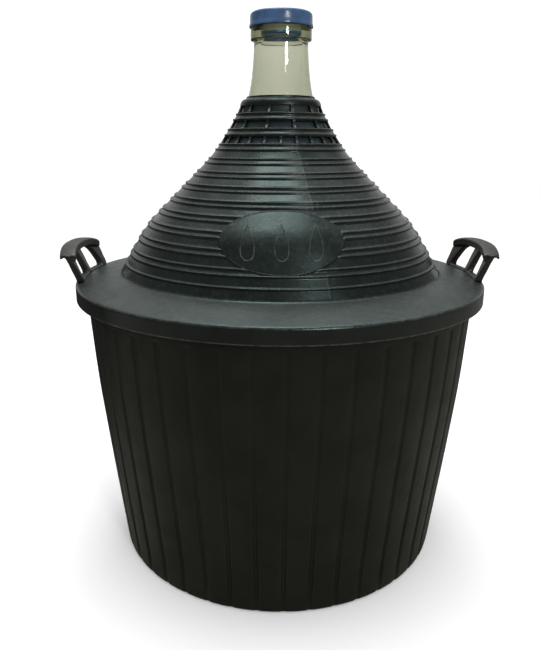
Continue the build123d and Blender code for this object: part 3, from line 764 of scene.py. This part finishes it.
def bell_point(x, z, rise):
    """Point on the front of the bell at x and height z, raised along its normal."""
    outline, _ = bell_outline()
    inside = (outline[:, 1] < BELL[1][1]) & (outline[:, 1] > FLANGE_ROOT[1])
    heights, radii = outline[inside][::-1, 1], outline[inside][::-1, 0]
    r = np.interp(z, heights, radii)
    slope = (np.interp(z + 2, heights, radii) - np.interp(z - 2, heights, radii)) / 4
    out = 1 / np.sqrt(1 + slope**2)
    azimuth = np.arcsin(np.clip(x / r, -1, 1))
    far = r + rise * out
    return np.stack([far * np.sin(azimuth), -far * np.cos(azimuth), z - rise * out * slope], axis=-1)


def plate(outline_at, rings, rise_at, name):
    """Closed plate on the bell: outline_at(t, angle) gives x, z for t from 0 to 1."""
    bm = bmesh.new()
    angles = np.linspace(0, 2 * math.pi, 160, endpoint=False)
    loops = []
    for t, rise in [(t, rise_at(t)) for t in rings] + [(1.0, -0.6)]:
        x, z = outline_at(t, angles)
        points = bell_point(x, z, rise)
        loops.append([bm.verts.new(p * MM) for p in points])
    for inner, outer in zip(loops, loops[1:]):
        for j in range(len(angles)):
            k = (j + 1) % len(angles)
            bm.faces.new([inner[j], inner[k], outer[k], outer[j]])
    bm.faces.new(loops[0][::-1])
    back = [bm.verts.new(p * MM) for p in bell_point(*outline_at(0.02, angles), -0.6)]
    for j in range(len(angles)):
        k = (j + 1) % len(angles)
        bm.faces.new([loops[-1][j], loops[-1][k], back[k], back[j]])
    bm.faces.new(back)
    bmesh.ops.recalc_face_normals(bm, faces=bm.faces)
    return mesh_object(name, bm, cover_plastic)


def oval(t, angles):
    return PLAQUE_HALF_W * t * np.cos(angles), PLAQUE_Z + PLAQUE_HALF_H * t * np.sin(angles)


def plaque_rise(t):
    """Flat face, low rounded border line near the edge, rounded edge."""
    border = 0.16 * math.exp(-(((t - 0.955) / 0.014) ** 2))
    return (PLAQUE_RISE - 0.35) * (1 - max(0, (t - 0.95) / 0.05) ** 2) + border


plaque_rings = [0.02] + list(np.linspace(0.08, 0.9, 30)) + list(np.linspace(0.91, 1.0, 24))
place(plate(oval, plaque_rings, plaque_rise, "cover_plaque"), "cover", "cover_plastic")


def make_droplet(name, x):
    """Raised outline of a droplet on the plaque, a thin round bead along a closed curve."""
    turn = np.linspace(0, 2 * math.pi, DROPLET_STEPS, endpoint=False)
    path_x = x + DROPLET_SIZE * 0.58 * np.sin(turn) * np.sin(turn / 2) ** 1.3
    path_z = PLAQUE_Z + DROPLET_SIZE * np.cos(turn)
    bm = bmesh.new()
    loops = []
    for k in range(DROPLET_STEPS):
        dx = path_x[(k + 1) % DROPLET_STEPS] - path_x[k - 1]
        dz = path_z[(k + 1) % DROPLET_STEPS] - path_z[k - 1]
        side = np.array([-dz, dx]) / math.hypot(dx, dz)
        loop = []
        for a in np.linspace(0, 2 * math.pi, LINE_SIDES, endpoint=False):
            across = DROPLET_LINE_R * math.cos(a)
            height = PLAQUE_RISE - 0.45 + DROPLET_LINE_R * math.sin(a)
            p = bell_point(path_x[k] + side[0] * across, path_z[k] + side[1] * across, height)
            loop.append(bm.verts.new(p * MM))
        loops.append(loop)
    for k in range(DROPLET_STEPS):
        a, b = loops[k], loops[(k + 1) % DROPLET_STEPS]
        for j in range(LINE_SIDES):
            m = (j + 1) % LINE_SIDES
            bm.faces.new([a[j], a[m], b[m], b[j]])
    bmesh.ops.recalc_face_normals(bm, faces=bm.faces)
    return mesh_object(name, bm, cover_plastic)


for number, offset in enumerate((-1, 0, 1)):
    droplet = make_droplet(f"plaque_droplet_{number + 1}", offset * DROPLET_SPACING)
    place(droplet, "cover", "cover_plastic")


# ---- handles -------------------------------------------------------------------------
# heights are above the flange's outer edge, angles are from the middle of the handle
HANDLE_TURN = 1.6
LEG_INSIDE = [(-1.5, 241.6), (3.2, 241.9), (15.0, 246.7), (24.0, 250.7), (32.0, 254.9), (41.0, 257.0)]
LEG_OUTSIDE = [(-1.5, 250.6), (3.2, 251.2), (15.0, 255.6), (24.0, 259.0), (32.0, 262.6), (41.0, 265.5)]
FOOT_IN, FOOT_OUT, FOOT_H = 241.5, 250.9, 3.2
FOOT_SPREAD = 13.9
OUTER_LEG_EDGE = [(0.0, 60.8), (20.0, 64.2), (37.0, 67.4)]
MIDDLE_LEG_W = (12.0, 8.0)       # at the foot, and how much it gains at full height
OUTER_LEG_W = (10.5, 20.0)
LEG_BOTTOM = 2.6
LEG_FLARE = 3.2                  # extra width where a leg runs into the foot or the grip
LIP_DEPTH = 9.4                  # inner edge of the grip, turned down
OUTER_LIP_DEPTH = 4.8
LEG_H = 33.0
GRIP_IN = 249.7
GRIP_TOP = [(0.0, 43.0), (22.0, 42.7), (40.0, 41.1), (52.0, 38.7), (63.4, 35.2)]
GRIP_SPREAD = 14.1
TAB_ANGLES = (-12.4, 0.0, 12.4)
TAB_HALF_W = 5.0
TAB_R = 247.0


def table(points, at):
    """Smooth curve through (position, value) points."""
    xs, ys = zip(*points)
    slopes = np.gradient(ys, xs)
    k = int(np.clip(np.searchsorted(xs, at) - 1, 0, len(xs) - 2))
    width = xs[k + 1] - xs[k]
    t = min(max((at - xs[k]) / width, 0), 1)
    a = (1 + 2 * t) * (1 - t) ** 2 * ys[k] + t * t * (3 - 2 * t) * ys[k + 1]
    return a + width * (t * (1 - t) ** 2 * slopes[k] - t * t * (1 - t) * slopes[k + 1])


def flange_height(r):
    return (FLANGE_ROOT[1] - FLANGE_Z) * (FLANGE_R - r) / (FLANGE_R - FLANGE_ROOT[0])


def loft(bm, loops):
    """Closed skin over loops of equal length, given in mm."""
    rings = [[bm.verts.new(np.array(p) * MM) for p in loop] for loop in loops]
    for a, b in zip(rings, rings[1:]):
        for j in range(len(a)):
            k = (j + 1) % len(a)
            bm.faces.new([a[j], a[k], b[k], b[j]])
    bm.faces.new(rings[0][::-1])
    bm.faces.new(rings[-1])


def polar(r, degrees, height):
    a = math.radians(degrees)
    return (r * math.cos(a), r * math.sin(a), FLANGE_Z + height)


def leg_loop(height, middle_y, width):
    """Rounded rectangle across a leg, 20 points; middle_y and width are along Y."""
    r_in, r_out = table(LEG_INSIDE, height), table(LEG_OUTSIDE, height)
    middle, half_t = (r_in + r_out) / 2, (r_out - r_in) / 2
    loop = []
    for t in np.radians(np.arange(9, 369, 18)):
        c, d = math.cos(t), math.sin(t)
        r = middle + np.sign(c) * abs(c) ** 0.4 * half_t
        y = middle_y + np.sign(d) * abs(d) ** 0.4 * width / 2
        loop.append((math.sqrt(r * r - y * y), y, FLANGE_Z + height))
    return loop


def add_foot(bm):
    """Thin foot that lies along the flange."""
    low_in, low_out = flange_height(FOOT_IN) + 0.1, flange_height(FOOT_OUT) + 0.1
    section = [(FOOT_IN, low_in), (FOOT_OUT, low_out), (FOOT_OUT - 0.3, FOOT_H),
               (FOOT_IN + 0.6, FOOT_H + 0.6)]
    angles = np.linspace(-FOOT_SPREAD, FOOT_SPREAD, 25)
    loft(bm, [[polar(r, degrees, height) for r, height in section] for degrees in angles])


def add_legs(bm):
    """Three legs that lean outward and widen towards the grip."""
    for side in (-1, 0, 1):
        loops = []
        foot_w, gain = OUTER_LEG_W if side else MIDDLE_LEG_W
        for t in np.linspace(0, 1, 28):
            edge = table(OUTER_LEG_EDGE, LEG_H * t)
            top = table(GRIP_TOP, edge - 8 if side else 0) - 2.0
            height = LEG_BOTTOM + (top - LEG_BOTTOM) * t
            flare = math.exp(-(height - 3.4) / 2.0) + math.exp((height - top + LIP_DEPTH - 3.4) / 2.0)
            width = foot_w + gain * min(1, height / LEG_H) ** 1.5 + LEG_FLARE * min(1, flare)
            middle_y = side * (table(OUTER_LEG_EDGE, height) - width / 2)
            loops.append(leg_loop(height, middle_y, width))
        loft(bm, loops)


def add_grip(bm):
    """Saddle-shaped grip: arched along, slightly crowned across, edges turned down."""
    loops = []
    for t in np.linspace(-1, 1, 61):
        height = table(GRIP_TOP, GRIP_TOP[-1][0] * abs(t))
        end = smoothstep(0.93, 1.0, abs(t))
        lip, outer_lip = LIP_DEPTH - 2.0 * end, OUTER_LIP_DEPTH
        section = [(0, -lip), (0, -1.5), (0.6, -0.4), (2.0, 0), (6, 0.25), (11, 0.15), (15, -0.2),
                   (17, -0.7), (18.1, -2.0), (18.1, -outer_lip), (15.6, -outer_lip), (15.2, -3.4),
                   (9, -3.1), (3.2, -3.2), (2.9, -lip)]
        loops.append([polar(GRIP_IN + u, GRIP_SPREAD * t, height + h - 0.8 * end) for u, h in section])
    loft(bm, loops)


def add_tabs(bm):
    """Barbed tabs through the flange."""
    section = [(245.1, 1.5), (245.1, -2.6), (244.2, -4.5), (245.1, -11.5), (248.6, -11.5), (248.6, 1.5)]
    half = math.degrees(TAB_HALF_W / TAB_R)
    for degrees in TAB_ANGLES:
        loft(bm, [[polar(r, degrees + side, height) for r, height in section] for side in (-half, half)])


def fuse(obj):
    """Turn overlapping solids into one seamless moulding with softened joins."""
    remesh = obj.modifiers.new("fuse", "REMESH")
    remesh.mode = "VOXEL"
    remesh.voxel_size = 0.7 * MM
    smooth = obj.modifiers.new("soften", "SMOOTH")
    smooth.factor = 0.5
    smooth.iterations = 6
    bpy.context.view_layer.update()
    evaluated = obj.evaluated_get(bpy.context.evaluated_depsgraph_get())
    mesh = bpy.data.meshes.new_from_object(evaluated)
    obj.modifiers.clear()
    obj.data = mesh
    for polygon in mesh.polygons:
        polygon.use_smooth = True


def make_handle(name, turn):
    bm = bmesh.new()
    add_foot(bm)
    add_legs(bm)
    add_grip(bm)
    add_tabs(bm)
    bmesh.ops.recalc_face_normals(bm, faces=bm.faces)
    obj = mesh_object(name, bm, handle_plastic)
    fuse(obj)
    obj.rotation_euler.z = math.radians(turn)
    return obj


place(make_handle("handle_right_moulding", HANDLE_TURN), "cover", "handle_plastic", "handle_right")
place(make_handle("handle_left_moulding", 180 + HANDLE_TURN), "cover", "handle_plastic", "handle_left")


# ---- studio --------------------------------------------------------------------------
ROOM_STRENGTH = 1.15             # for the camera and for diffuse light
CEILING_STRENGTH = 1.3           # the other strengths are of what glossy faces mirror
BACK_STRENGTH = 0.55
WALL_STRENGTH = 0.12
GLASS_SIDE_STRENGTH = 0.3        # of the room that the glass shows from its sides and front
# tones of the floor in reflections and bounced light, all painted: painted shade, a painted pool of light
# near the front, a painted shadow behind on the left
FLOOR_SHADE_TONE = (0.15, 0.15, 0.135)
FLOOR_LIT_TONE_FRONT = (0.24, 0.24, 0.205)
FLOOR_SHADOW_TONE_LEFT = (0.03, 0.03, 0.027)


def make_floor():
    """Wide floor, pale for the camera; for other rays it carries painted shade, a painted pool of light near
    the front and a painted shadow behind on the left.
    """
    n = Nodes("studio_floor")
    pale = n.mix(n.ramp(n.noise(3, 3), 0.3, 0.7), (0.86, 0.86, 0.86), (0.88, 0.88, 0.88))
    seen_directly = n.add("ShaderNodeLightPath").outputs["Is Camera Ray"]
    place_on_floor = n.add("ShaderNodeSeparateXYZ")
    n.link(n.add("ShaderNodeNewGeometry").outputs["Position"], place_on_floor.inputs["Vector"])
    # painted shade for every ray but the camera's, with a painted pool of light near the front and a painted
    # shadow behind on the left
    behind = n.ramp(place_on_floor.outputs["Y"], -0.1, 0.25)
    left = n.ramp(place_on_floor.outputs["X"], -0.45, -0.1, 1.0, 0.0)
    lit_near_front = n.ramp(place_on_floor.outputs["Y"], -1.0, -0.4)
    mirrored = n.mix(lit_near_front, FLOOR_SHADE_TONE, FLOOR_LIT_TONE_FRONT)
    mirrored = n.mix(behind, mirrored, FLOOR_SHADE_TONE)
    mirrored = n.mix(n.math("MULTIPLY", behind, left), mirrored, FLOOR_SHADOW_TONE_LEFT)
    n.link(n.mix(seen_directly, mirrored, pale), n.bsdf.inputs["Base Color"])
    n.bsdf.inputs["Roughness"].default_value = 0.9
    n.bsdf.inputs["Specular IOR Level"].default_value = 0.0
    outline = np.array([(0, 0), (300, 0), (2000, 0), (9000, 0)], float)
    obj = turned("studio_floor", outline, n.owner, 96, loop=False)


def make_world():
    """White room for the camera; what the object mirrors is dimmer, open to the back."""
    n = Nodes("studio", "worlds")
    bpy.context.scene.world = n.owner
    split = n.add("ShaderNodeSeparateXYZ")
    n.link(n.add("ShaderNodeTexCoord").outputs["Generated"], split.inputs["Vector"])
    right, ahead, up = split.outputs["X"], split.outputs["Y"], split.outputs["Z"]
    ceiling = n.math("MULTIPLY", n.ramp(up, 0.5, 0.95, 0.0, CEILING_STRENGTH), n.ramp(ahead, -0.2, 0.3))
    back = n.ramp(ahead, 0.40, 0.95, 0.0, BACK_STRENGTH)
    low = n.ramp(up, -0.15, 0.1, 1.0, 0.0)
    low_left = n.math("MULTIPLY", low, n.ramp(right, -0.3, -0.02, 1.0, 0.0))
    walls = n.math("SUBTRACT", WALL_STRENGTH, n.math("MULTIPLY", low_left, 0.09))
    back = n.math("MULTIPLY", back, n.math("SUBTRACT", 1.0, n.math("MULTIPLY", low_left, 0.8)))
    mirrored = n.math("ADD", n.math("ADD", ceiling, back), walls)
    path = n.add("ShaderNodeLightPath")
    opaque = n.math("SUBTRACT", 1.0, path.outputs["Is Transmission Ray"])
    glossy = n.math("MULTIPLY", path.outputs["Is Glossy Ray"], opaque)
    extra = n.math("MULTIPLY", glossy, n.math("SUBTRACT", mirrored, ROOM_STRENGTH))
    through = n.math("MULTIPLY", path.outputs["Is Transmission Ray"], path.outputs["Is Glossy Ray"])
    dimmed = n.ramp(ahead, -0.1, 0.5, GLASS_SIDE_STRENGTH - ROOM_STRENGTH, 0.0)
    extra = n.math("ADD", extra, n.math("MULTIPLY", through, dimmed))
    background = n.tree.nodes["Background"]
    background.inputs["Color"].default_value = (1.0, 1.0, 1.0, 1)
    n.link(n.math("ADD", extra, ROOM_STRENGTH), background.inputs["Strength"])


def area_light(name, place, target, size, energy):
    """Rectangular lamp at place, aimed at target; metres and watts."""
    light = bpy.data.lights.new(name, "AREA")
    light.shape = "RECTANGLE"
    light.size, light.size_y = size
    light.energy = energy
    obj = bpy.data.objects.new(name, light)
    obj.location = place
    direction = np.array(place) - np.array(target)
    yaw = math.atan2(direction[0], -direction[1])
    pitch = math.atan2(math.hypot(direction[0], direction[1]), direction[2])
    obj.rotation_euler = (pitch, 0, yaw)
    bpy.context.scene.collection.objects.link(obj)


CAMERA_AT = (-0.0111, -0.8040, 0.5079)
CAMERA_DOWN = 15.92              # degrees below level
CAMERA_ROLL = 0.24


def make_camera():
    """Camera in front of the plaque, looking down a little."""
    data = bpy.data.cameras.new("camera")
    data.lens = 35.0
    data.sensor_width = 36.0
    data.clip_end = 50
    camera = bpy.data.objects.new("camera", data)
    camera.location = CAMERA_AT
    tilt = Matrix.Rotation(math.radians(90 - CAMERA_DOWN), 3, "X")
    roll = Matrix.Rotation(math.radians(CAMERA_ROLL), 3, "Z")
    camera.rotation_euler = (tilt @ roll).to_euler()
    bpy.context.scene.collection.objects.link(camera)
    bpy.context.scene.camera = camera


make_floor()
make_world()
area_light("overhead", (-0.10, -0.10, 2.4), (-0.10, -0.10, 0), (1.1, 0.7), 14.5)
area_light("window", (0.75, -1.86, 1.02), (0, 0, 0.6), (0.26, 0.36), 12)
area_light("rear", (-0.05, 1.28, 2.35), (0, -0.22, 0.35), (0.9, 0.8), 16)
area_light("lamp", (0.72, -1.33, 1.75), (0.05, -0.19, 0.37), (0.3, 0.3), 1.6)
make_camera()
bpy.context.scene.view_settings.view_transform = "Standard"
